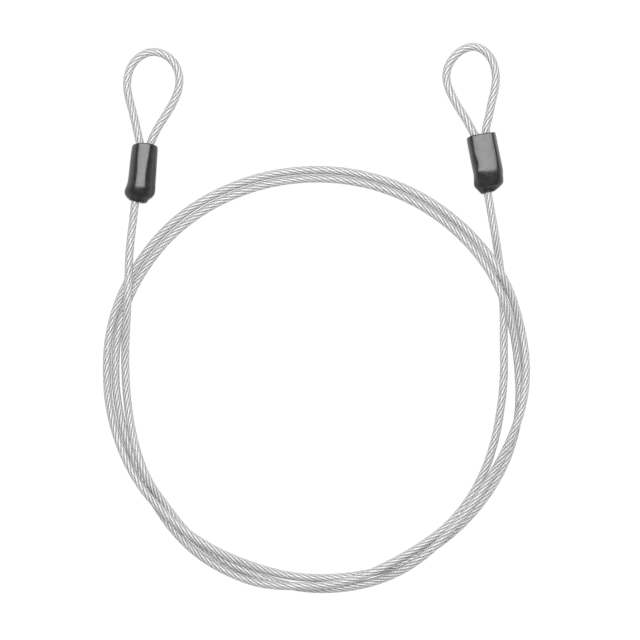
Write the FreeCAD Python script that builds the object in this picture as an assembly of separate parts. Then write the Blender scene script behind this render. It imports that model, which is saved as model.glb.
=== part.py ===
import FreeCAD, Part
import math
import os

# Looped security cable, lying flat and loosely coiled.
# Millimetres, +Z up, z = 0 is the surface it lies on, origin under the middle
# of its whole outline.  +Y runs from the coil towards the two eyes.

os.makedirs("parts", exist_ok=True)
V = FreeCAD.Vector

# ---------------------------------------------------------------- dimensions
ROPE_D = 2.0            # bare wire rope
COAT_D = 2.5            # over the clear coat
LEG_U = 1.05            # half the spacing of the two legs in a ferrule

CAP_L = 18.4            # end cap, rim to neck
CAP_H = 5.9             # height of the cap as it lies
CAP_W_RIM_L = 7.6       # width just inside the rim, left cap
CAP_W_MAX_L = 9.3       # width at the shoulder, left cap
CAP_W_RIM_R = 8.6
CAP_W_MAX_R = 9.2
CAP_SHOULDER_S = 15.3   # where the shoulders begin
CAP_CAVITY = (6.5, 4.5) # inside width and height
CAP_FLOOR_S = 13.0      # where the cavity ends and the solid neck begins
CAP_NECK_D = 2.9        # hole the cable leaves by
CAP_SLIDE = 9.0         # how far a cap slides back in this coil (for the record)

FERRULE_S = (3.2, 12.2) # along the end's axis, from the rim of the cap
FERRULE_W = 6.0
FERRULE_H = 4.0
FERRULE_BORE = (4.1, 2.0)
DEAD_END_S = 12.6       # the cut end of the rope stands just proud of the ferrule
STRIP_S = 1.2           # the eye's coat is stripped back to here, just inside the rim
LEAD_COAT_S = 12.9      # and the lead's coat starts here, past the cut end

Z_AXIS = CAP_H / 2.0    # height of the rope's middle in the ends

# Each end has its own frame: the middle of the cap's rim, the unit direction
# from the eye towards the coil (s), and the unit direction across it (u).
LEFT = {"rim": (-52.52, 53.32), "s": (-0.1147, -0.9934), "u": (0.9934, -0.1147)}
RIGHT = {"rim": (50.33, 55.82), "s": (0.1762, -0.9844), "u": (0.9844, 0.1762)}

# Eye centrelines as (u, s) route points, live leg first, cut end last.
EYE_L = [(-1.05, 12.20), (-1.05, 1.69), (-2.49, -2.26), (-3.86, -6.21),
         (-5.34, -10.14), (-6.95, -14.01), (-7.88, -18.12), (-7.42, -22.35),
         (-5.26, -26.02), (-1.60, -28.33), (2.69, -28.02), (6.20, -25.55),
         (8.14, -21.76), (8.29, -17.50), (7.13, -13.47), (5.41, -9.64),
         (3.51, -5.89), (2.01, -1.99), (1.05, 2.12), (1.05, DEAD_END_S)]
EYE_R = [(-1.05, 12.20), (-1.05, 2.00), (-2.37, -1.85), (-3.64, -5.71),
         (-5.23, -9.46), (-6.59, -13.29), (-7.56, -17.26), (-7.02, -21.40),
         (-4.57, -24.72), (-1.10, -26.96), (3.07, -27.37), (6.41, -24.70),
         (7.83, -20.84), (7.77, -16.72), (6.60, -12.81), (4.90, -9.10),
         (3.45, -5.31), (1.73, -1.59), (1.05, 2.42), (1.05, DEAD_END_S)]

# Straight leads between the ferrules and the coil: the last points lie inside
# the coil, whose solid trims the tubes.
LEAD_L = [(-56.77, 25.62, 2.95), (-57.47, 14.20, 3.30), (-57.80, 3.20, 3.75)]
LEAD_R = [(54.61, 25.80, 2.95), (56.00, 17.40, 1.25), (57.35, 8.30, 1.25)]

# Route of the loose cable from the neck of the left cap, round the coil and
# out to the neck of the right cap.  The turns lie beside and over each other;
# a clamped quadratic curve on these points is the cable's middle line.
ROUTE = [
    (-55.67, 35.16, 2.95), (-56.23, 30.26, 2.95), (-57.47, 19.92, 2.95), (-57.69, 10.06, 3.98),
    (-58.20, -0.35, 3.58), (-58.74, -10.11, 1.42), (-58.46, -20.53, 1.25), (-57.48, -30.39, 1.45),
    (-55.50, -40.26, 3.13), (-51.90, -49.93, 3.72), (-46.21, -58.07, 1.77), (-39.34, -65.59, 1.25),
    (-31.25, -72.15, 1.25), (-22.99, -77.52, 1.25), (-13.24, -81.24, 1.25), (-3.62, -83.38, 1.25),
    (6.79, -83.42, 1.25), (16.94, -81.56, 1.32), (26.16, -77.71, 3.20), (34.34, -71.95, 3.91),
    (41.66, -64.53, 3.45), (48.01, -57.02, 3.30), (53.84, -48.34, 2.58), (58.46, -39.65, 3.47),
    (62.31, -30.00, 3.91), (64.26, -20.08, 3.09), (64.06, -10.12, 1.27), (62.00, 0.07, 1.25),
    (58.80, 9.44, 3.69), (53.79, 18.17, 4.18), (47.54, 25.95, 1.25), (39.60, 32.69, 1.30),
    (31.20, 37.89, 1.25), (21.70, 41.93, 1.25), (11.65, 44.47, 1.25), (1.83, 45.41, 1.25),
    (-8.59, 44.94, 1.25), (-18.28, 43.00, 1.25), (-28.04, 39.53, 1.25), (-37.14, 34.66, 1.25),
    (-44.98, 28.61, 1.25), (-51.95, 20.96, 1.25), (-57.44, 12.50, 1.25), (-61.70, 3.19, 1.25),
    (-64.10, -6.85, 1.25), (-64.57, -16.73, 1.25), (-63.88, -27.13, 1.25), (-61.46, -36.71, 1.25),
    (-57.38, -46.31, 2.67), (-51.90, -54.49, 3.92), (-44.62, -62.03, 3.69), (-36.82, -68.12, 3.79),
    (-27.72, -73.11, 3.64), (-18.43, -76.77, 1.93), (-8.84, -79.33, 1.25), (1.49, -80.10, 1.25),
    (11.82, -79.46, 1.25), (21.45, -77.40, 1.25), (31.19, -73.55, 1.25), (39.48, -68.17, 1.25),
    (47.10, -61.19, 1.25), (53.47, -53.01, 1.25), (58.20, -44.35, 1.25), (61.37, -34.34, 1.25),
    (62.39, -24.57, 1.25), (61.80, -14.17, 1.25), (60.55, -4.40, 2.15), (57.37, 5.49, 4.33),
    (52.77, 14.41, 2.19), (46.92, 22.44, 1.25), (39.28, 29.55, 1.25), (31.05, 35.00, 1.25),
    (21.53, 39.28, 1.25), (11.98, 41.77, 1.25), (1.68, 42.83, 1.25), (-8.64, 42.27, 1.25),
    (-18.31, 40.26, 1.25), (-28.08, 36.57, 1.25), (-36.64, 31.71, 1.25), (-44.74, 25.18, 1.25),
    (-51.37, 17.26, 1.25), (-56.46, 8.81, 1.25), (-60.21, -0.97, 1.25), (-61.55, -10.78, 1.25),
    (-61.53, -21.09, 1.25), (-60.10, -31.36, 1.25), (-57.22, -40.78, 1.25), (-53.12, -50.41, 1.25),
    (-48.67, -59.15, 1.25), (-42.30, -67.54, 1.25), (-34.93, -74.05, 1.25), (-25.72, -79.08, 1.57),
    (-16.32, -81.98, 3.41), (-5.85, -82.93, 3.88), (4.01, -82.18, 3.39), (14.08, -79.41, 3.83),
    (23.01, -75.32, 3.55), (32.12, -70.19, 1.91), (40.04, -64.41, 1.25), (46.69, -56.44, 1.25),
    (51.56, -47.58, 1.25), (54.77, -37.89, 1.25), (56.61, -27.76, 1.25), (57.57, -17.89, 1.25),
    (57.39, -7.50, 1.25), (57.44, 2.34, 1.25), (56.75, 10.60, 1.25), (56.10, 16.90, 1.25),
    (55.42, 20.90, 2.05), (54.75, 24.90, 2.95), (53.66, 31.10, 2.95), (52.51, 37.51, 2.95),
]
COIL_C = (-0.06, -19.04)    # middle of the coil
COIL_STEP = 6.0             # degrees between the sections of the coil's outer shape
COIL_REACH = 66.8           # the cable counts as coil inside this radius
COIL_SKIN = 0.10            # outer margin, so the chords clear the round turns


# ------------------------------------------------------------------- helpers
def place(end, u, s, z):
    """Point in the part's frame from an end's own frame."""
    return V(end["rim"][0] + end["u"][0] * u + end["s"][0] * s,
             end["rim"][1] + end["u"][1] * u + end["s"][1] * s, z)


def tube_path(points, name, share=0.45):
    """Edges of straight runs joined by tangent arcs; prints each arc's radius."""
    pts = [V(*p) if not isinstance(p, V) else p for p in points]
    edges = []
    radii = []
    here = pts[0]
    for i in range(1, len(pts) - 1):
        a, b, c = pts[i - 1], pts[i], pts[i + 1]
        d1 = (b - a).normalize()
        d2 = (c - b).normalize()
        run = min((b - a).Length, (c - b).Length)
        turn = math.acos(max(-1.0, min(1.0, d1.dot(d2))))
        cut = share * run
        radius = cut / math.tan(turn / 2.0)
        radii.append(radius)
        p1 = b - d1 * cut
        p2 = b + d2 * cut
        mid_dir = (d2 - d1).normalize()
        centre = b + mid_dir * (radius / math.cos(turn / 2.0))
        pm = centre - mid_dir * radius
        edges.append(Part.LineSegment(here, p1).toShape())
        edges.append(Part.Arc(p1, pm, p2).toShape())
        here = p2
    edges.append(Part.LineSegment(here, pts[-1]).toShape())
    print("%s: length %.1f mm, radii %s" % (
        name, sum(e.Length for e in edges), " ".join("%.1f" % r for r in radii)))
    return edges


def clip_path(edges, end, s_max):
    """The part of a path whose s, in an end's frame, is below s_max."""
    def s_of(e, t):
        q = e.valueAt(t)
        return (q.x - end["rim"][0]) * end["s"][0] + (q.y - end["rim"][1]) * end["s"][1]
    kept = []
    for e in edges:
        t0, t1 = e.FirstParameter, e.LastParameter
        in0, in1 = s_of(e, t0) < s_max, s_of(e, t1) < s_max
        if in0 != in1:
            a, b = t0, t1
            for _ in range(60):
                m = (a + b) / 2.0
                if (s_of(e, m) < s_max) == in0:
                    a = m
                else:
                    b = m
            if in0:
                t1 = a
            else:
                t0 = a
            kept.append(Part.Edge(e.Curve, t0, t1))
        elif in0:
            kept.append(e)
    return kept


def rod(edges, dia):
    """Round bar along a path."""
    wire = Part.Wire(edges)
    first = edges[0]
    start, direction = first.valueAt(first.FirstParameter), first.tangentAt(first.FirstParameter)
    ring = Part.Wire([Part.Circle(start, direction, dia / 2.0).toShape()])
    solid = wire.makePipeShell([ring], True, False)
    section = math.pi * dia * dia / 4.0
    want = section * wire.Length
    assert abs(solid.Volume - want) < 0.02 * want, (solid.Volume, want)
    return Part.Solid(solid) if solid.ShapeType != "Solid" else solid


def sleeve(path, outer, inner):
    """Hollow round tube along a path."""
    return rod(path, outer).cut(rod(path, inner))


def one(shape):
    """The single solid of a boolean's result."""
    solids = shape.Solids
    assert len(solids) == 1, len(solids)
    return solids[0]


def oval(end, s, w, h, u0=0.0, zc=Z_AXIS):
    """Flat-sided oval wire across an end's axis at s."""
    r = h / 2.0
    f = (w - h) / 2.0
    p = lambda u, z: place(end, u0 + u, s, zc + z)
    return Part.Wire([
        Part.LineSegment(p(-f, r), p(f, r)).toShape(),
        Part.Arc(p(f, r), p(f + r, 0), p(f, -r)).toShape(),
        Part.LineSegment(p(f, -r), p(-f, -r)).toShape(),
        Part.Arc(p(-f, -r), p(-f - r, 0), p(-f, r)).toShape()])


def oval_loft(end, sections):
    """Solid through flat-sided ovals given as (s, w, h, u0)."""
    return Part.makeLoft([oval(end, *q) for q in sections], True, True)


def axis_dir(end):
    return V(end["s"][0], end["s"][1], 0)


# ---------------------------------------------------------------------- caps
def cap(end, w_rim, w_max):
    body = oval_loft(end, [
        (0.0, w_rim - 0.7, CAP_H - 0.7, 0.0),
        (0.35, w_rim, CAP_H, 0.0),
        (CAP_SHOULDER_S, w_max, CAP_H, 0.0),
        (16.4, w_max - 1.3, CAP_H - 0.4, -0.15),
        (17.4, w_max - 3.2, CAP_H - 1.1, -0.45),
        (CAP_L, 4.7, 4.1, -0.75)])
    cavity = oval_loft(end, [(-1.0, CAP_CAVITY[0], CAP_CAVITY[1], 0.0),
                             (CAP_FLOOR_S, CAP_CAVITY[0], CAP_CAVITY[1], 0.0)])
    neck = Part.makeCylinder(CAP_NECK_D / 2.0, CAP_L - CAP_FLOOR_S + 2.0,
                             place(end, -LEG_U, CAP_FLOOR_S - 1.0, Z_AXIS), axis_dir(end))
    return one(body.cut(cavity).cut(neck))


# ------------------------------------------------------------------ ferrules
def ferrule(end):
    a, b = FERRULE_S
    w, h = FERRULE_W, FERRULE_H
    sections = [(a, w - 0.5, h - 0.5, 0.0), (a + 0.25, w, h, 0.0)]
    # two pressed bands left by the crimping tool
    for s0 in (a + 2.0, a + 6.0):
        sections += [(s0, w, h, 0.0), (s0 + 0.25, w - 0.4, h - 0.4, 0.0),
                     (s0 + 1.75, w - 0.4, h - 0.4, 0.0), (s0 + 2.0, w, h, 0.0)]
    sections += [(b - 0.25, w, h, 0.0), (b, w - 0.5, h - 0.5, 0.0)]
    body = oval_loft(end, sections)
    bore = oval_loft(end, [(a - 1.0, FERRULE_BORE[0], FERRULE_BORE[1], 0.0),
                           (b + 1.0, FERRULE_BORE[0], FERRULE_BORE[1], 0.0)])
    return one(body.cut(bore))


# ---------------------------------------------------------------------- eyes
def eye(end, pts, name):
    """Rope loop with both legs through the ferrule, and its coat, stripped
    back to just inside the cap's rim."""
    path = tube_path([place(end, u, s, Z_AXIS) for u, s in pts], name)
    return rod(path, ROPE_D), one(sleeve(clip_path(path, end, STRIP_S), COAT_D, ROPE_D))


# ---------------------------------------------------------------------- coil
def route_curve():
    poles = [V(*p) for p in ROUTE]
    n = len(poles)
    knots = [float(i) for i in range(n - 1)]
    mults = [3] + [1] * (n - 3) + [3]
    curve = Part.BSplineCurve()
    curve.buildFromPolesMultsKnots(poles, mults, knots, False, 2)
    return curve, float(n - 2)


def coil():
    curve, last = route_curve()
    samples = [curve.value(last * i / 4400.0) for i in range(4401)]
    print("loose cable: %.1f mm along its middle, cap neck to cap neck" % curve.length())
    polar = []
    for p in samples:
        x, y = p.x - COIL_C[0], p.y - COIL_C[1]
        r = math.hypot(x, y)
        if r <= COIL_REACH:
            polar.append((math.degrees(math.atan2(x, y)) % 360.0, r, p.z))
    half = COAT_D / 2.0
    count = int(round(360.0 / COIL_STEP))
    raw = []
    for i in range(count):
        a = i * COIL_STEP
        near = [(r, z) for t, r, z in polar if abs((t - a + 180.0) % 360.0 - 180.0) <= COIL_STEP * 0.8]
        raw.append((min(r for r, z in near) - half, max(r for r, z in near) + half,
                    max(z for r, z in near) + half))
    rings = []
    for i in range(count):
        r_in = raw[i][0] - 0.03
        r_out = raw[i][1] + COIL_SKIN
        top = raw[i][2] + 0.04
        a = math.radians(i * COIL_STEP)
        low, high = 0.55, 0.8
        prof = [(r_in + low, 0.0), (r_out - low, 0.0), (r_out, low), (r_out, top - high),
                (r_out - high, top), (r_in + high, top), (r_in, top - high), (r_in, low)]
        rings.append([V(COIL_C[0] + r * math.sin(a), COIL_C[1] + r * math.cos(a), z) for r, z in prof])
    faces = []

    def facet(*pts):
        faces.append(Part.Face(Part.makePolygon(list(pts) + [pts[0]])))

    for i in range(count):
        p, q = rings[i], rings[(i + 1) % count]
        for k in range(8):
            m = (k + 1) % 8
            if k == 0:
                facet(p[k], p[m], q[m], q[k])      # underside, flat on the surface
            else:
                facet(p[k], p[m], q[m])
                facet(p[k], q[m], q[k])
    shell = Part.makeShell(faces)
    shell.sewShape()
    solid = Part.Solid(shell)
    if solid.Volume < 0:
        solid.reverse()
    return one(solid.removeSplitter())


# --------------------------------------------------------------------- build
parts = {}
parts["cap_left"] = cap(LEFT, CAP_W_RIM_L, CAP_W_MAX_L)
parts["cap_right"] = cap(RIGHT, CAP_W_RIM_R, CAP_W_MAX_R)
parts["ferrule_left"] = ferrule(LEFT)
parts["ferrule_right"] = ferrule(RIGHT)
parts["eye_rope_left"], parts["eye_coat_left"] = eye(LEFT, EYE_L, "left eye")
parts["eye_rope_right"], parts["eye_coat_right"] = eye(RIGHT, EYE_R, "right eye")

coil_solid = coil()
parts["cable_coil"] = coil_solid

for name, end, pts in (("left", LEFT, LEAD_L), ("right", RIGHT, LEAD_R)):
    start = place(end, -LEG_U, FERRULE_S[1], Z_AXIS)
    route = [start] + [V(*p) for p in pts]
    path = tube_path(route, name + " lead")
    bared = place(end, -LEG_U, LEAD_COAT_S, Z_AXIS)
    first = Part.LineSegment(bared, path[0].valueAt(path[0].LastParameter)).toShape()
    coated = sleeve([first] + path[1:], COAT_D, ROPE_D)
    for kind, solid in (("rope", rod(path, ROPE_D)), ("coat", coated)):
        rest = solid.cut(coil_solid)
        # of what is left, the lead is the piece that touches its ferrule
        piece = min(rest.Solids, key=lambda q: q.distToShape(Part.Vertex(start))[0])
        parts["lead_%s_%s" % (kind, name)] = piece

for name, shape in parts.items():
    assert shape.isValid(), name
    assert shape.isClosed() or shape.Solids, name
    shape.exportStep("parts/%s.step" % name)
    b = shape.BoundBox
    print("%-16s solids %d volume %8.2f  x %.2f..%.2f  y %.2f..%.2f  z %.2f..%.2f" % (
        name, len(shape.Solids), shape.Volume, b.XMin, b.XMax, b.YMin, b.YMax, b.ZMin, b.ZMax))
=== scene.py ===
import math

import bmesh
import bpy
import numpy as np
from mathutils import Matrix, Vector


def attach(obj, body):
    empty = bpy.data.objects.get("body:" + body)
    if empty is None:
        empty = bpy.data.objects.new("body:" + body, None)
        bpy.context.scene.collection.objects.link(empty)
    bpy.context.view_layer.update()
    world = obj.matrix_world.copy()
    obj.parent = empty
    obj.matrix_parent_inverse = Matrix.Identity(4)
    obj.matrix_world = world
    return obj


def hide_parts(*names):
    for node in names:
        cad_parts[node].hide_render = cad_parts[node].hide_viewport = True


# Looped security cable: a clear-coated wire rope in a loose flat coil, with a
# crimped eye and a black vinyl end cap at each end.  Metres, +Z up, z = 0 is
# the surface it lies on, +Y is up in the picture.

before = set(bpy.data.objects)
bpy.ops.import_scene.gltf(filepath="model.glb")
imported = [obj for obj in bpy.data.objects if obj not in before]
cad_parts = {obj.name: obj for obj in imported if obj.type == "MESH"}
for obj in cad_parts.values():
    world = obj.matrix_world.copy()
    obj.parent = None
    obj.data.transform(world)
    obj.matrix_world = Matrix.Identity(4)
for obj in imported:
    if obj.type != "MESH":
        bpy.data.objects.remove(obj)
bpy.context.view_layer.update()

MM = 0.001

# ------------------------------------------------------------------ sizes, mm
ROPE_R = 1.04           # bare rope, over its crowns
COAT_R = 1.25           # over the clear coat
LAY = 14.4              # length in which a strand goes once round the rope
WIRE_LAY = 7.0          # and a wire round its strand, the other way
GROOVE = 0.006          # depth between the drawn-together wires of a strand
STRAND_FIT = 0.96       # a strand's width against its share of the round
RELIEF = 0.006          # how far the strands show through the coat's surface
STEP = 0.45             # spacing of the rings along the rope

CAP_H = 5.9
ZC = CAP_H / 2.0
LEFT = {"rim": (-52.52, 53.32), "s": (-0.1147, -0.9934), "u": (0.9934, -0.1147)}
RIGHT = {"rim": (50.33, 55.82), "s": (0.1762, -0.9844), "u": (0.9844, 0.1762)}
STRIP_S = 1.2           # the eye's coat ends here
LEAD_S = 12.2           # the ferrule's inner end
LEAD_COAT_S = 12.9      # the lead's coat starts here

# The cable from ferrule to ferrule: route points in millimetres.
ROUTE = [
    (-54.96, 41.32, 2.95),
    (-55.67, 35.16, 2.95), (-56.23, 30.26, 2.95), (-57.47, 19.92, 2.95), (-57.69, 10.06, 3.98),
    (-58.20, -0.35, 3.58), (-58.86, -10.12, 1.42), (-58.62, -20.57, 1.25), (-57.62, -30.43, 1.45),
    (-55.50, -40.26, 3.13), (-51.90, -49.93, 3.72), (-46.21, -58.07, 1.77), (-39.92, -66.28, 1.25),
    (-31.74, -72.99, 1.25), (-22.99, -77.52, 1.25), (-13.24, -81.24, 1.25), (-3.62, -83.38, 1.25),
    (6.79, -83.42, 1.25), (16.94, -81.56, 1.32), (26.16, -77.71, 3.20), (34.34, -71.95, 3.91),
    (41.66, -64.53, 3.45), (48.01, -57.02, 3.30), (53.84, -48.34, 2.58), (58.46, -39.65, 3.47),
    (62.31, -30.00, 3.91), (64.26, -20.08, 3.09), (64.06, -10.12, 1.27), (62.00, 0.07, 1.25),
    (58.80, 9.44, 3.69), (53.62, 18.05, 4.18), (47.38, 25.80, 1.25), (39.50, 32.56, 1.30),
    (31.20, 37.89, 1.25), (21.70, 41.93, 1.25), (11.65, 44.47, 1.25), (1.83, 45.41, 1.25),
    (-8.59, 44.94, 1.25), (-18.28, 43.00, 1.25), (-28.04, 39.53, 1.25), (-37.14, 34.66, 1.25),
    (-44.98, 28.61, 1.25), (-51.95, 20.96, 1.25), (-57.44, 12.50, 1.25), (-61.70, 3.19, 1.25),
    (-64.10, -6.85, 1.25), (-64.57, -16.73, 1.25), (-63.88, -27.13, 1.25), (-61.46, -36.71, 1.25),
    (-57.38, -46.31, 2.67), (-51.90, -54.49, 3.92), (-44.62, -62.03, 3.69), (-36.82, -68.12, 3.79),
    (-27.72, -73.11, 3.64), (-18.43, -76.77, 1.93), (-8.86, -79.48, 1.25), (1.49, -80.22, 1.25),
    (11.82, -79.46, 1.25), (21.45, -77.40, 1.25), (31.19, -73.55, 1.25), (39.48, -68.17, 1.25),
    (47.10, -61.19, 1.25), (53.47, -53.01, 1.25), (58.20, -44.35, 1.25), (61.37, -34.34, 1.25),
    (62.39, -24.57, 1.25), (61.80, -14.17, 1.25), (60.55, -4.40, 2.15), (57.37, 5.49, 4.33),
    (53.00, 14.55, 3.30), (46.95, 22.47, 1.50), (39.28, 29.55, 1.25), (31.05, 35.00, 1.25),
    (21.53, 39.28, 1.25), (11.98, 41.77, 1.25), (1.68, 42.83, 1.25), (-8.64, 42.27, 1.25),
    (-18.31, 40.26, 1.25), (-28.08, 36.57, 1.25), (-36.64, 31.71, 1.25), (-44.74, 25.18, 1.25),
    (-51.37, 17.26, 1.25), (-56.46, 8.81, 1.25), (-60.40, -0.95, 1.25), (-61.82, -10.78, 1.25),
    (-61.80, -21.12, 1.25), (-60.26, -31.45, 1.25), (-57.22, -40.78, 1.25), (-53.12, -50.41, 1.25),
    (-48.67, -59.15, 1.25), (-42.30, -67.54, 1.25), (-34.93, -74.05, 1.25), (-25.72, -79.08, 1.57),
    (-16.32, -81.98, 3.41), (-5.80, -82.36, 3.88), (4.01, -82.18, 3.39), (14.08, -79.41, 3.83),
    (23.01, -75.32, 3.55), (32.12, -70.19, 1.91), (40.04, -64.41, 1.25), (46.69, -56.44, 1.25),
    (51.56, -47.58, 1.25), (54.77, -37.89, 1.25), (56.61, -27.76, 1.25), (57.57, -17.89, 1.25),
    (57.39, -7.50, 1.25), (57.44, 2.34, 1.25), (56.75, 10.60, 1.25), (56.10, 16.90, 1.25),
    (55.42, 20.90, 2.05), (54.75, 24.90, 2.95), (53.66, 31.10, 2.95), (52.51, 37.51, 2.95),
    (51.45, 43.62, 2.95),
]

# The eyes, (u, s) in each end's own frame: live leg first, cut end last.
EYE_L = [(-1.05, 12.20), (-1.05, 10.10), (-1.05, 5.92), (-1.02, 1.69), (-2.49, -2.26),
         (-3.86, -6.21), (-5.34, -10.14), (-6.95, -14.01), (-7.88, -18.12), (-7.42, -22.35),
         (-5.26, -26.02), (-1.60, -28.33), (2.69, -28.02), (6.20, -25.55), (8.14, -21.76),
         (8.29, -17.50), (7.13, -13.47), (5.41, -9.64), (3.51, -5.89), (2.01, -1.99),
         (1.05, 2.12), (1.04, 6.31), (1.05, 10.50), (1.05, 12.60)]
EYE_R = [(-1.05, 12.20), (-1.04, 10.16), (-1.07, 6.11), (-0.98, 2.00), (-2.37, -1.85),
         (-3.64, -5.71), (-5.23, -9.46), (-6.59, -13.29), (-7.56, -17.26), (-7.02, -21.40),
         (-4.57, -24.72), (-1.10, -26.96), (3.07, -27.37), (6.41, -24.70), (7.83, -20.84),
         (7.77, -16.72), (6.60, -12.81), (4.90, -9.10), (3.45, -5.31), (1.73, -1.59),
         (1.01, 2.42), (1.06, 6.50), (1.03, 10.56), (1.05, 12.60)]

# The end caps, each (s, u of the left side, u of the right side, height of the
# top, height of the underside) in its end's own frame: dipped vinyl sleeves
# that narrow to a puckered neck where the lead pierces them.
CAP_L = [(0.0, -3.80, 3.90, 5.88, 0.02), (0.8, -3.93, 4.00, 5.90, 0.0), (2.6, -4.01, 4.10, 5.90, 0.0),
         (5.8, -4.05, 4.26, 5.90, 0.0), (9.0, -4.01, 4.42, 5.90, 0.0), (12.2, -4.07, 4.57, 5.90, 0.0),
         (13.2, -4.20, 4.66, 5.89, 0.0), (14.0, -4.42, 4.69, 5.82, 0.0), (14.8, -4.62, 4.65, 5.70, 0.0),
         (15.4, -4.64, 4.53, 5.58, 0.02), (16.2, -4.46, 4.00, 5.30, 0.22), (17.0, -3.84, 3.12, 4.88, 0.66),
         (17.6, -3.20, 2.50, 4.62, 1.02), (18.0, -2.95, 2.15, 4.52, 1.14)]
CAP_R = [(0.0, -4.44, 4.50, 5.88, 0.02), (0.8, -4.54, 4.58, 5.90, 0.0), (2.6, -4.56, 4.62, 5.90, 0.0),
         (5.8, -4.52, 4.70, 5.90, 0.0), (9.0, -4.46, 4.77, 5.90, 0.0), (10.9, -4.40, 4.82, 5.89, 0.0),
         (11.7, -4.40, 4.80, 5.82, 0.0), (12.4, -4.48, 4.68, 5.73, 0.0), (13.2, -4.62, 4.56, 5.61, 0.0),
         (14.0, -4.73, 4.47, 5.49, 0.0), (14.8, -4.80, 4.36, 5.37, 0.0), (15.3, -4.70, 4.24, 5.28, 0.02),
         (15.8, -4.38, 3.90, 5.14, 0.10), (16.2, -4.05, 3.42, 4.88, 0.28), (16.6, -3.74, 2.80, 4.68, 0.56),
         (17.1, -3.32, 2.00, 4.54, 0.98), (17.6, -2.90, 1.30, 4.42, 1.28)]
# (s, where the nearly flat crown ends left and right of the middle)
CROWN_L = [(0.0, 1.80, 1.75), (1.0, 1.75, 1.70), (5.0, 1.62, 1.46), (9.0, 1.32, 1.24), (12.2, 1.35, 1.40),
           (15.0, 1.5, 1.5), (18.0, 0.6, 0.6)]
CROWN_R = [(0.0, 2.80, 3.20), (3.0, 2.90, 3.30), (6.0, 2.85, 3.32), (7.4, 2.60, 3.25), (8.4, 2.42, 3.15),
           (9.4, 2.65, 3.05), (10.6, 2.95, 2.95), (12.0, 2.9, 2.8), (14.5, 2.3, 2.3), (15.8, 1.5, 1.5), (16.8, 0.7, 0.7), (17.6, 0.4, 0.4)]
NECK_R = 1.37           # the hole for the lead
LEG_U = 1.05            # the legs lie this far each side of the middle
CAVITY = (6.5, 4.5, 13.0)   # the sleeve's inside: width, height, depth

scene = bpy.context.scene
collection = scene.collection


def place(end, u, s, z):
    """A point of the part's frame from an end's own frame, in millimetres."""
    return (end["rim"][0] + end["u"][0] * u + end["s"][0] * s,
            end["rim"][1] + end["u"][1] * u + end["s"][1] * s, z)


# ---------------------------------------------------------------- mesh helpers
def grid_mesh(name, rows, ends=True, start_centre=None, end_centre=None):
    """Closed-round surface through rows[ring, around, xyz], in millimetres."""
    rings, around, _ = rows.shape
    verts = rows.reshape(-1, 3) * MM
    i = np.arange(rings - 1)[:, None] * around
    j = np.arange(around)[None, :]
    k = (j + 1) % around
    quads = np.stack([i + j, i + k, i + around + k, i + around + j], axis=-1).reshape(-1, 4)
    extra = []
    if ends:
        a = rows[0].mean(0) if start_centre is None else np.array(start_centre)
        b = rows[-1].mean(0) if end_centre is None else np.array(end_centre)
        n = len(verts)
        verts = np.vstack([verts, a * MM, b * MM])
        top = (rings - 1) * around
        for j in range(around):
            k = (j + 1) % around
            extra.append((n, k, j))
            extra.append((n + 1, top + j, top + k))
    loops = np.concatenate([quads.ravel(), np.array(extra, int).ravel()]) if extra else quads.ravel()
    sizes = np.concatenate([np.full(len(quads), 4), np.full(len(extra), 3)])
    starts = np.concatenate([[0], np.cumsum(sizes)[:-1]])
    mesh = bpy.data.meshes.new(name)
    mesh.vertices.add(len(verts))
    mesh.vertices.foreach_set("co", verts.astype(np.float32).ravel())
    mesh.loops.add(len(loops))
    mesh.loops.foreach_set("vertex_index", loops.astype(np.int32))
    mesh.polygons.add(len(sizes))
    mesh.polygons.foreach_set("loop_start", starts.astype(np.int32))
    mesh.polygons.foreach_set("use_smooth", np.ones(len(sizes), bool))
    mesh.update(calc_edges=True)
    mesh.validate()
    return mesh


def add(name, mesh, body, material=None):
    obj = bpy.data.objects.new(name, mesh)
    collection.objects.link(obj)
    if material is not None:
        mesh.materials.append(material)
    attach(obj, body)
    return obj


# ---------------------------------------------------------------- the routes
def spline_points(points, name):
    """Points of the smooth line that a NURBS spline makes of a route."""
    curve = bpy.data.curves.new(name, "CURVE")
    curve.dimensions = "3D"
    curve.resolution_u = 40
    spline = curve.splines.new("NURBS")
    spline.points.add(len(points) - 1)
    for p, q in zip(spline.points, points):
        p.co = (q[0] * MM, q[1] * MM, q[2] * MM, 1.0)
    spline.order_u = 3
    spline.use_endpoint_u = True
    spline.resolution_u = 40
    carrier = bpy.data.objects.new(name, curve)
    mesh = bpy.data.meshes.new_from_object(carrier)
    line = np.array([v.co for v in mesh.vertices], float) / MM
    bpy.data.meshes.remove(mesh)
    bpy.data.objects.remove(carrier)
    bpy.data.curves.remove(curve)
    return line


def evenly(line, step):
    """The line at even spacing: points and their distances along it."""
    along = np.concatenate([[0.0], np.cumsum(np.linalg.norm(np.diff(line, axis=0), axis=1))])
    at = np.linspace(0.0, along[-1], int(round(along[-1] / step)) + 1)
    return np.stack([np.interp(at, along, line[:, k]) for k in range(3)], axis=1), at


def frames(points):
    """Tangents and two carried normals that don't spin about the line."""
    t = np.gradient(points, axis=0)
    t /= np.linalg.norm(t, axis=1)[:, None]
    n = np.zeros_like(t)
    first = np.cross(t[0], (0.0, 0.0, 1.0))
    n[0] = first / np.linalg.norm(first)
    for i in range(1, len(t)):
        v = n[i - 1] - t[i] * float(n[i - 1] @ t[i])
        n[i] = v / math.sqrt(float(v @ v))
    return t, n, np.cross(t, n)


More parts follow.
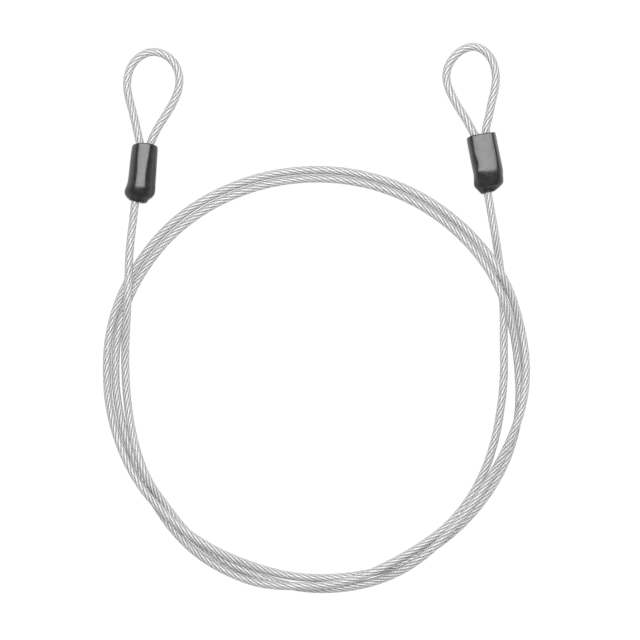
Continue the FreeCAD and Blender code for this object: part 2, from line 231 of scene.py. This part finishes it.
def strand_rows(points, at, carried, k, r_rope=ROPE_R):
    """One of the rope's outer strands: six wires round a seventh, whose outer
    outline winds round the strand as the strand winds round the rope."""
    t, n, b = carried
    r_strand = r_rope / 3.0
    r_path = r_rope - r_strand
    phi = 2.0 * math.pi * at / LAY + k * math.pi / 3.0
    out = np.cos(phi)[:, None] * n + np.sin(phi)[:, None] * b
    side = -np.sin(phi)[:, None] * n + np.cos(phi)[:, None] * b
    lean = math.atan(2.0 * math.pi * r_path / LAY)
    along = math.cos(lean) * t + math.sin(lean) * side
    across = np.cross(along, out)
    centre = points + r_path * out
    angles, radii = [], []
    for w in range(6):
        for d, depth in ((-30.0, 1.0), (-10.0, 0.1), (10.0, 0.1)):
            angles.append(math.radians(60.0 * w + d))
            radii.append(r_strand * STRAND_FIT - GROOVE * depth)
    angles, radii = np.array(angles), np.array(radii)
    turn = -2.0 * math.pi * at / WIRE_LAY + 0.7 * k
    a = angles[None, :] + turn[:, None]
    rows = (centre[:, None, :]
            + (radii[None, :] * np.cos(a))[:, :, None] * out[:, None, :]
            + (radii[None, :] * np.sin(a))[:, :, None] * across[:, None, :])
    return rows, np.cos(a)


def strand_mesh(name, *args):
    """A strand whose points carry how far they face out of the rope, which the wire's colour uses for painted shade
    down in the grooves."""
    rows, outward = strand_rows(*args)
    mesh = grid_mesh(name, rows)
    values = np.concatenate([outward.ravel(), [1.0, 1.0]]).astype(np.float32)
    mesh.attributes.new("outward", "FLOAT", "POINT").data.foreach_set("value", values)
    return mesh


def core_rows(points, at, carried, r_rope=ROPE_R):
    """The rope's middle strand, plain, as it is never seen but at a cut."""
    t, n, b = carried
    a = np.linspace(0.0, 2.0 * math.pi, 9)[:-1]
    r = r_rope / 3.0 * 0.96
    return points[:, None, :] + r * (np.cos(a)[None, :, None] * n[:, None, :]
                                     + np.sin(a)[None, :, None] * b[:, None, :])


def coat_rows(points, at, carried, relief=RELIEF):
    """The coat, its surface lifted a little over each strand."""
    t, n, b = carried
    j = np.arange(24)
    radius = COAT_R - relief * (0.5 - 0.5 * np.cos(6.0 * j * math.pi / 12.0))
    a = (j * math.pi / 12.0)[None, :] + (2.0 * math.pi * at / LAY)[:, None]
    return points[:, None, :] + radius[None, :, None] * (
        np.cos(a)[:, :, None] * n[:, None, :] + np.sin(a)[:, :, None] * b[:, None, :])


# ------------------------------------------------------------------ materials
def material(name):
    m = bpy.data.materials.new(name)
    m.use_nodes = True
    nodes, links = m.node_tree.nodes, m.node_tree.links
    return m, nodes, links, nodes["Principled BSDF"]


# hot-dipped zinc: grey and half matt, with painted shade that darkens the wire towards the grooves between strands, so
# the crowns read bright
steel, nodes, links, bsdf = material("galvanised_wire")
bsdf.inputs["Metallic"].default_value = 0.3
coord = nodes.new("ShaderNodeTexCoord")
noise = nodes.new("ShaderNodeTexNoise")
noise.inputs["Scale"].default_value = 900.0
noise.inputs["Detail"].default_value = 2.0
ramp = nodes.new("ShaderNodeValToRGB")
ramp.color_ramp.elements[0].position, ramp.color_ramp.elements[1].position = 0.3, 0.7
ramp.color_ramp.elements[0].color = (0.80, 0.80, 0.80, 1)
ramp.color_ramp.elements[1].color = (0.89, 0.89, 0.89, 1)
rough = nodes.new("ShaderNodeMapRange")
rough.inputs["To Min"].default_value, rough.inputs["To Max"].default_value = 0.58, 0.70
links.new(coord.outputs["Object"], noise.inputs["Vector"])
links.new(noise.outputs["Fac"], ramp.inputs["Fac"])
# painted shade: the base colour is multiplied darker where a strand faces into the rope's grooves, standing in for the
# shade that falls there
outward = nodes.new("ShaderNodeAttribute")
outward.attribute_name = "outward"
groove_shade_ramp = nodes.new("ShaderNodeValToRGB")
groove_shade_ramp.color_ramp.elements[0].position, groove_shade_ramp.color_ramp.elements[1].position = 0.70, 0.98
groove_shade_ramp.color_ramp.elements[0].color = (0.62, 0.62, 0.62, 1)
groove_shade_ramp.color_ramp.elements[1].color = (1.0, 1.0, 1.0, 1)
painted_groove_shade = nodes.new("ShaderNodeMix")
painted_groove_shade.data_type = "RGBA"
painted_groove_shade.blend_type = "MULTIPLY"
painted_groove_shade.inputs[0].default_value = 1.0
links.new(outward.outputs["Fac"], groove_shade_ramp.inputs["Fac"])
links.new(ramp.outputs["Color"], painted_groove_shade.inputs[6])
links.new(groove_shade_ramp.outputs["Color"], painted_groove_shade.inputs[7])
links.new(painted_groove_shade.outputs[2], bsdf.inputs["Base Color"])
links.new(noise.outputs["Fac"], rough.inputs["Value"])
links.new(rough.outputs["Result"], bsdf.inputs["Roughness"])

clear, nodes, links, bsdf = material("clear_vinyl")
bsdf.inputs["Base Color"].default_value = (1.0, 1.0, 1.0, 1)
bsdf.inputs["Roughness"].default_value = 0.2
bsdf.inputs["IOR"].default_value = 1.53
bsdf.inputs["Transmission Weight"].default_value = 1.0
through = nodes.new("ShaderNodeBsdfTransparent")
ray = nodes.new("ShaderNodeLightPath")
mix = nodes.new("ShaderNodeMixShader")
links.new(ray.outputs["Is Shadow Ray"], mix.inputs[0])
links.new(bsdf.outputs[0], mix.inputs[1])
links.new(through.outputs[0], mix.inputs[2])
links.new(mix.outputs[0], nodes["Material Output"].inputs["Surface"])



def varied(nodes, links, coord, scale, detail, low, high, target, span=(0.35, 0.65)):
    """Noise over the object, spread between two values, into a socket."""
    noise = nodes.new("ShaderNodeTexNoise")
    noise.inputs["Scale"].default_value = scale
    noise.inputs["Detail"].default_value = detail
    links.new(coord.outputs["Object"], noise.inputs["Vector"])
    if target.type == "RGBA":
        ramp = nodes.new("ShaderNodeValToRGB")
        ramp.color_ramp.elements[0].position, ramp.color_ramp.elements[1].position = span
        ramp.color_ramp.elements[0].color = (low, low, low, 1)
        ramp.color_ramp.elements[1].color = (high, high, high, 1)
        links.new(noise.outputs["Fac"], ramp.inputs["Fac"])
        links.new(ramp.outputs["Color"], target)
    else:
        spread = nodes.new("ShaderNodeMapRange")
        spread.inputs["From Min"].default_value, spread.inputs["From Max"].default_value = span
        spread.inputs["To Min"].default_value, spread.inputs["To Max"].default_value = low, high
        links.new(noise.outputs["Fac"], spread.inputs["Value"])
        links.new(spread.outputs["Result"], target)
    return noise


# dipped vinyl: satin skin with a faint dimpling and duller patches
black, nodes, links, bsdf = material("black_vinyl")
coord = nodes.new("ShaderNodeTexCoord")
varied(nodes, links, coord, 420.0, 3.0, 0.014, 0.030, bsdf.inputs["Base Color"])
varied(nodes, links, coord, 650.0, 2.0, 0.16, 0.22, bsdf.inputs["Roughness"])
bsdf.inputs["IOR"].default_value = 1.54
bsdf.inputs["Specular IOR Level"].default_value = 0.70
bump = nodes.new("ShaderNodeBump")
bump.inputs["Strength"].default_value = 0.05
bump.inputs["Distance"].default_value = 0.00003
varied(nodes, links, coord, 1300.0, 2.0, 0.0, 1.0, bump.inputs["Height"])
links.new(bump.outputs["Normal"], bsdf.inputs["Normal"])

# aluminium sleeve: drawn finish, dulled in patches, with fine scratches
alu, nodes, links, bsdf = material("aluminium")
bsdf.inputs["Metallic"].default_value = 1.0
coord = nodes.new("ShaderNodeTexCoord")
varied(nodes, links, coord, 500.0, 4.0, 0.36, 0.50, bsdf.inputs["Base Color"])
varied(nodes, links, coord, 900.0, 3.0, 0.42, 0.58, bsdf.inputs["Roughness"])
stretch = nodes.new("ShaderNodeMapping")
stretch.inputs["Scale"].default_value = (1.0, 0.12, 1.0)
scratch = nodes.new("ShaderNodeTexNoise")
scratch.inputs["Scale"].default_value = 5200.0
scratch.inputs["Detail"].default_value = 2.0
bump = nodes.new("ShaderNodeBump")
bump.inputs["Strength"].default_value = 0.25
bump.inputs["Distance"].default_value = 0.00002
links.new(coord.outputs["Object"], stretch.inputs["Vector"])
links.new(stretch.outputs["Vector"], scratch.inputs["Vector"])
links.new(scratch.outputs["Fac"], bump.inputs["Height"])
links.new(bump.outputs["Normal"], bsdf.inputs["Normal"])

# ------------------------------------------------------------------ the cable
BODY = "cable_assembly"


line = spline_points(ROUTE, "cable_route")
points, at = evenly(line, STEP)
carried = frames(points)
for k in range(6):
    add(f"strand_{k + 1}", strand_mesh(f"strand_{k + 1}", points, at, carried, k), BODY, steel)
add("strand_core", grid_mesh("strand_core", core_rows(points, at, carried)), BODY, steel)
keep = (at > LEAD_COAT_S - LEAD_S) & (at < at[-1] - (LEAD_COAT_S - LEAD_S))
coated = tuple(v[keep] for v in carried)
coat = add("cable_coat", grid_mesh("cable_coat", coat_rows(points[keep], at[keep], coated)), BODY, clear)
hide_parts("cable_coil", "lead_coat_left", "lead_coat_right")
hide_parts("lead_rope_left", "lead_rope_right")

for side, end, eye in (("left", LEFT, EYE_L), ("right", RIGHT, EYE_R)):
    line = spline_points([place(end, u, s, ZC) for u, s in eye], f"eye_route_{side}")
    pts, dist = evenly(line, STEP)
    held = frames(pts)
    body = [add(f"eye_{side}_strand_{k + 1}", strand_mesh(f"eye_{side}_strand_{k + 1}", pts, dist, held, k), BODY, steel)
            for k in range(6)]
    body.append(add(f"eye_{side}_core", grid_mesh(f"eye_{side}_core", core_rows(pts, dist, held)), BODY, steel))
    s_of = ((pts[:, :2] - np.array(end["rim"])) @ np.array(end["s"]))
    keep = s_of < STRIP_S
    eye_coat = add(f"eye_{side}_coat", grid_mesh(f"eye_{side}_coat", coat_rows(
        pts[keep], dist[keep], tuple(v[keep] for v in held))), BODY, clear)
    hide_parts(f"eye_coat_{side}")
    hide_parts(f"eye_rope_{side}")

# ------------------------------------------------------------ caps, ferrules
TILTS = np.radians([0, 1.5, 3, 4.5, 6.5, 9, 12.5, 16, 20, 25, 31, 38, 45, 53, 61, 68, 75, 82.5, 90])


def through(table, at_s):
    """Smooth curves through a table's columns, at the given s."""
    t = np.array(table, float)
    xs = t[:, 0]
    x = np.clip(np.asarray(at_s, float), xs[0], xs[-1])
    i = np.clip(np.searchsorted(xs, x, side="right") - 1, 0, len(xs) - 2)
    h = xs[i + 1] - xs[i]
    q = (x - xs[i]) / h
    out = []
    for k in range(1, t.shape[1]):
        y = t[:, k]
        m = np.gradient(y, xs)
        out.append((2 * q**3 - 3 * q**2 + 1) * y[i] + (q**3 - 2 * q**2 + q) * h * m[i]
                   + (3 * q**2 - 2 * q**3) * y[i + 1] + (q**3 - q**2) * h * m[i + 1])
    return np.stack(out, axis=-1)


def quarter(w, h, crown, tilt, turn):
    """Across and up for each of TILTS, on a quarter of a round-cornered outline
    w wide and h high, whose crown, nearly flat, reaches out to the given tilt
    and whose corner and side go on to the two tilts of turn."""
    crown = min(crown, 0.68 * w)
    t2, t4 = math.radians(turn[0]), math.radians(turn[1])
    r1, r4 = crown / math.sin(tilt), 0.45 * h
    a = np.array([[math.sin(t2) - math.sin(tilt), math.sin(t4) - math.sin(t2)],
                  [math.cos(tilt) - math.cos(t2), math.cos(t2) - math.cos(t4)]])
    b = np.array([w - crown - r4 * (1 - math.sin(t4)), h - r1 * (1 - math.cos(tilt)) - r4 * math.cos(t4)])
    r2, r3 = np.linalg.solve(a, b)
    if min(r2, r3) < 0.15:      # too narrow for its height: a plain ellipse
        return w * np.sin(TILTS), h * np.cos(TILTS)
    knots = [0.0, tilt, t2, t4, math.pi / 2]
    across, drop = np.zeros(len(TILTS)), np.zeros(len(TILTS))
    for lo, hi, r in zip(knots, knots[1:], (r1, r2, r3, r4)):
        q = np.clip(TILTS, lo, hi)
        across += r * (np.sin(q) - math.sin(lo))
        drop += r * (math.cos(lo) - np.cos(q))
    return across, h - drop


def outline(middle, left, right, top, bottom, crown_left, crown_right, tilts, turns=((45, 75), (45, 75))):
    """Ring of (u, z) round a section, z from the middle height."""
    parts = []
    for w, h, c, k, su, sz in ((right, top, crown_right, 1, 1, 1), (right, bottom, crown_right, 1, 1, -1),
                               (left, bottom, crown_left, 0, -1, -1), (left, top, crown_left, 0, -1, 1)):
        x, z = quarter(w, h, c, tilts[k], turns[k])
        pts = np.stack([middle + su * x, sz * z], axis=1)
        parts.append(pts[:-1] if su * sz > 0 else pts[::-1][:-1])
    return np.concatenate(parts)


# the same directions round the ring, for every section
AROUND = np.concatenate([TILTS[:-1], math.pi - TILTS[::-1][:-1], math.pi + TILTS[:-1], 2 * math.pi - TILTS[::-1][:-1]])


def oval(w, h, middle=0.0, crown=math.radians(3)):
    flat = (w - h) / 2 + 0.08 + 2.0 * math.sin(crown)
    return outline(middle, w / 2, w / 2, h / 2, h / 2, flat, flat, (crown, crown))


def closed_mesh(name, end, rings):
    """Surface through rings of (u, s, z) that comes back to its first ring."""
    rows = np.array(rings)
    xyz = np.stack(place(end, rows[..., 0], rows[..., 1], rows[..., 2]), axis=-1).reshape(-1, 3) * MM
    n, m = rows.shape[:2]
    bm = bmesh.new()
    verts = [bm.verts.new(p) for p in xyz]
    for i in range(n):
        for j in range(m):
            k, nxt = (j + 1) % m, (i + 1) % n
            bm.faces.new((verts[i * m + j], verts[i * m + k], verts[nxt * m + k], verts[nxt * m + j]))
    bmesh.ops.recalc_face_normals(bm, faces=bm.faces)
    for f in bm.faces:
        f.smooth = True
    mesh = bpy.data.meshes.new(name)
    bm.to_mesh(mesh)
    bm.free()
    return mesh


def step_up(x, lo, hi):
    q = np.clip((x - lo) / (hi - lo), 0.0, 1.0)
    return q * q * (3 - 2 * q)


def cap_mesh(name, end, sides, crowns, tilts, turns, rim, ragged, folds):
    """A dipped sleeve: puckered neck, shoulders, flattened crown, rolled rim and
    the inside down to its floor, with the lead's hole through the floor."""
    last = sides[-1][0]
    neck_lip, rim_lip = 0.28, 0.34

    def section(s, grow=0.0):
        left, right, top, bottom = through(sides, s)
        c_left, c_right = through(crowns, s)
        # the top of the section moves over to the lead as the neck narrows
        middle = float(step_up(s, 14.5, last)) * (left + right) / 2
        ring = outline(middle, middle - left + grow, right - middle + grow, top - ZC + grow, ZC - bottom + grow,
                       c_left, c_right, tilts, turns)
        # folds that gather towards the hole
        depth = float(step_up(s, 15.2, last - 0.2))
        wave = sum(a * np.cos(k * (AROUND - math.radians(at))) for k, a, at in folds)
        return ring + depth * wave[:, None] * np.stack([np.sin(AROUND), np.cos(AROUND)], axis=1)

    def ring_at(uz, s):
        u, z = uz[:, 0], uz[:, 1]
        return np.stack([u, np.zeros_like(u) + s, ZC + z], axis=1)

    rings = []
    # neck lip, from the hole outwards
    hole = np.stack([-LEG_U + NECK_R * np.sin(AROUND), NECK_R * np.cos(AROUND)], axis=1)
    tear = sum(a * np.cos(k * (AROUND - math.radians(at))) for k, a, at in ragged)
    edge = section(last)
    for q in (0.25, 0.6, 0.9):
        mixed = hole * (1 - q) + edge * q
        r = ring_at(mixed, last)
        r[:, 1] += tear + neck_lip * (math.sin(math.pi * q) - 0.55)
        rings.append(r)
    for s in np.concatenate([np.arange(last - 0.12, 15.0, -0.16), np.arange(14.9, 1.2, -0.4), np.arange(1.1, rim_lip, -0.15)]):
        r = ring_at(section(s), s)
        r[:, 1] += tear * step_up(s, last - 0.9, last) + rim(r[:, 0]) * (1 - step_up(s, 0.0, 2.4))
        rings.append(r)
    # rolled rim
    for b in np.radians([15, 32, 50, 68, 86]):
        r = ring_at(section(rim_lip, -rim_lip * (1 - math.cos(b))), rim_lip * (1 - math.sin(b)))
        r[:, 1] += rim(r[:, 0]) * (1 - step_up(r[:, 1], 0.0, 2.4))
        rings.append(r)
    w, h, deep = CAVITY
    for grow, s in ((0.30, 0.03), (0.12, 0.14), (0.02, 0.32)):
        r = ring_at(oval(w + 2 * grow, h + 2 * grow), s)
        r[:, 1] += rim(r[:, 0])
        rings.append(r)
    for s in np.concatenate([np.arange(0.8, deep - 0.8, 0.9), [deep - 0.6]]):
        r = ring_at(oval(w, h), s)
        r[:, 1] += rim(r[:, 0]) * (1 - step_up(s, 0.0, 2.4))
        rings.append(r)
    # rounded floor of the inside, then the hole through the neck
    inside = oval(w, h)
    for q, s in ((0.12, deep - 0.25), (0.4, deep - 0.03), (0.75, deep), (0.94, deep + 0.08)):
        rings.append(ring_at(inside * (1 - q) + hole * q, s))
    for s in np.arange(deep + 0.3, last - 0.5, 0.5):
        rings.append(ring_at(hole, s))
    r = ring_at(hole, last - 0.34)
    r[:, 1] += tear * 0.8
    rings.append(r)
    return closed_mesh(name, end, rings)


def ferrule_mesh(name, end):
    """Oval sleeve pressed over both legs, with two crimped bands whose dies
    squeezed a thin ridge out along each side."""
    a, b, w, h = 3.2, 12.2, 6.0, 4.0
    table = [(a, 0.5), (a + 0.08, 0.26), (a + 0.25, 0.04), (a + 0.5, 0.0)]
    for s0 in (a + 2.0, a + 6.0):
        table += [(s0 - 0.12, 0.0), (s0 + 0.1, 0.1), (s0 + 0.3, 0.36), (s0 + 0.5, 0.4),
                  (s0 + 1.5, 0.4), (s0 + 1.7, 0.36), (s0 + 1.9, 0.1), (s0 + 2.12, 0.0)]
    table += [(b - 0.5, 0.0), (b - 0.25, 0.04), (b - 0.08, 0.26), (b, 0.5)]
    ridge = np.exp(-((np.abs(np.sin(AROUND)) - 1.0) / 0.004) ** 2)
    rings = []
    for s in np.unique(np.concatenate([[q[0] for q in table], np.arange(a + 0.5, b - 0.4, 0.25)])):
        less = float(np.interp(s, [q[0] for q in table], [q[1] for q in table]))
        ring = oval(w - less, h - less, crown=math.radians(14))
        ring[:, 0] += np.sign(ring[:, 0]) * ridge * 0.28 * less
        rings.append(np.stack([ring[:, 0], np.full(len(ring), s), ZC + ring[:, 1]], axis=1))
    for s, grow in ((b - 0.02, 0.16), (b - 0.2, 0.0)):
        ring = oval(4.2 + grow, 2.1 + grow)
        rings.append(np.stack([ring[:, 0], np.full(len(ring), s), ZC + ring[:, 1]], axis=1))
    for s in np.arange(b - 1.0, a + 0.5, -1.0):
        ring = oval(4.2, 2.1)
        rings.append(np.stack([ring[:, 0], np.full(len(ring), s), ZC + ring[:, 1]], axis=1))
    for s, grow in ((a + 0.2, 0.0), (a + 0.02, 0.16)):
        ring = oval(4.2 + grow, 2.1 + grow)
        rings.append(np.stack([ring[:, 0], np.full(len(ring), s), ZC + ring[:, 1]], axis=1))
    return closed_mesh(name, end, rings)


def rim_left(u):
    return 0.045 * u * u - 0.05 * u - 0.02 + 0.03 * np.sin(1.9 * u + 0.4)


def rim_right(u):
    return -0.33 + 0.008 * u * u + 0.12 * step_up(-u, 2.8, 4.5) + 0.06 * np.sin(2.6 * u)


narrow, wide = math.radians(6.5), math.radians(12.5)
for side, end, sides, crowns, tilts, turns, rim, ragged, folds in (
        ("left", LEFT, CAP_L, CROWN_L, (narrow, wide), ((45, 75), (60, 80)), rim_left,
         [(1, 0.24, 95), (4, 0.07, 20), (9, 0.05, 5)], [(5, 0.07, 30), (9, 0.06, 12), (13, 0.03, 0)]),
        ("right", RIGHT, CAP_R, CROWN_R, (wide, narrow), ((60, 80), (60, 80)), rim_right,
         [(1, 0.12, 250), (3, 0.08, 60), (8, 0.06, 10)], [(3, -0.10, 0), (6, -0.10, 4), (11, 0.06, 8)])):
    shell = add(f"end_cap_{side}", cap_mesh(f"end_cap_{side}", end, sides, crowns, tilts, turns, rim, ragged, folds),
                f"{side}_cap", black)
    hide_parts(f"cap_{side}")
    sleeve = add(f"crimp_{side}", ferrule_mesh(f"crimp_{side}", end), BODY, alu)
    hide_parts(f"ferrule_{side}")

# ------------------------------------------------------- floor, light, camera
floor_mesh = bpy.data.meshes.new("floor")
floor_mesh.from_pydata([(-3, -3, 0), (3, -3, 0), (3, 3, 0), (-3, 3, 0)], [], [(0, 1, 2, 3)])
floor = bpy.data.objects.new("floor", floor_mesh)
collection.objects.link(floor)
pale, nodes, links, bsdf = material("pale_floor")
bsdf.inputs["Base Color"].default_value = (0.12, 0.12, 0.12, 1)
bsdf.inputs["Roughness"].default_value = 1.0
bsdf.inputs["Specular IOR Level"].default_value = 0.0
bsdf.inputs["Emission Color"].default_value = (1, 1, 1, 1)
bsdf.inputs["Emission Strength"].default_value = 0.93
pale.cycles.emission_sampling = "NONE"
floor_mesh.materials.append(pale)

world = bpy.data.worlds.new("studio")
scene.world = world
world.use_nodes = True
world.cycles.sampling_method = "NONE"
nodes, links = world.node_tree.nodes, world.node_tree.links
back = nodes["Background"]
back.inputs["Color"].default_value = (1, 1, 1, 1)
coord = nodes.new("ShaderNodeTexCoord")
axes = nodes.new("ShaderNodeSeparateXYZ")
rise = nodes.new("ShaderNodeMapRange")
rise.interpolation_type = "SMOOTHSTEP"
rise.inputs["From Min"].default_value, rise.inputs["From Max"].default_value = 0.15, 0.80
rise.inputs["To Min"].default_value, rise.inputs["To Max"].default_value = 1.05, 0.25
side = nodes.new("ShaderNodeMapRange")
side.inputs["From Min"].default_value, side.inputs["From Max"].default_value = -1.0, 1.0
side.inputs["To Min"].default_value, side.inputs["To Max"].default_value = 0.65, 1.1
both = nodes.new("ShaderNodeMath")
both.operation = "MULTIPLY"
links.new(coord.outputs["Generated"], axes.inputs["Vector"])
links.new(axes.outputs["Z"], rise.inputs["Value"])
links.new(axes.outputs["Y"], side.inputs["Value"])
links.new(rise.outputs["Result"], both.inputs[0])
links.new(side.outputs["Result"], both.inputs[1])
links.new(both.outputs["Value"], back.inputs["Strength"])


def softbox(name, low, high, height, radiance):
    """A level rectangular light over the object, facing down."""
    light = bpy.data.lights.new(name, "AREA")
    light.shape = "RECTANGLE"
    light.size, light.size_y = high[0] - low[0], high[1] - low[1]
    light.energy = radiance * math.pi * light.size * light.size_y
    obj = bpy.data.objects.new(name, light)
    collection.objects.link(obj)
    obj.location = ((low[0] + high[0]) / 2, (low[1] + high[1]) / 2, height)
    obj.visible_transmission = False    # lamps reach the wires straight through the coat
    return obj


softbox("overhead", (-0.36, -0.08), (0.36, 0.62), 1.05, 5.0)

camera_data = bpy.data.cameras.new("camera")
camera = bpy.data.objects.new("camera", camera_data)
collection.objects.link(camera)
distance = 0.9
width = 640 * 0.3066 * MM
camera_data.sensor_width = 36.0
camera_data.lens = 36.0 * distance / width
camera.location = ((320 - 316.7) * 0.3066 * MM, (317.4 - 320) * 0.3066 * MM, distance + 2.5 * MM)
camera_data.clip_start, camera_data.clip_end = 0.05, 10.0
scene.camera = camera

scene.view_settings.view_transform = "Standard"
scene.view_settings.look = "None"
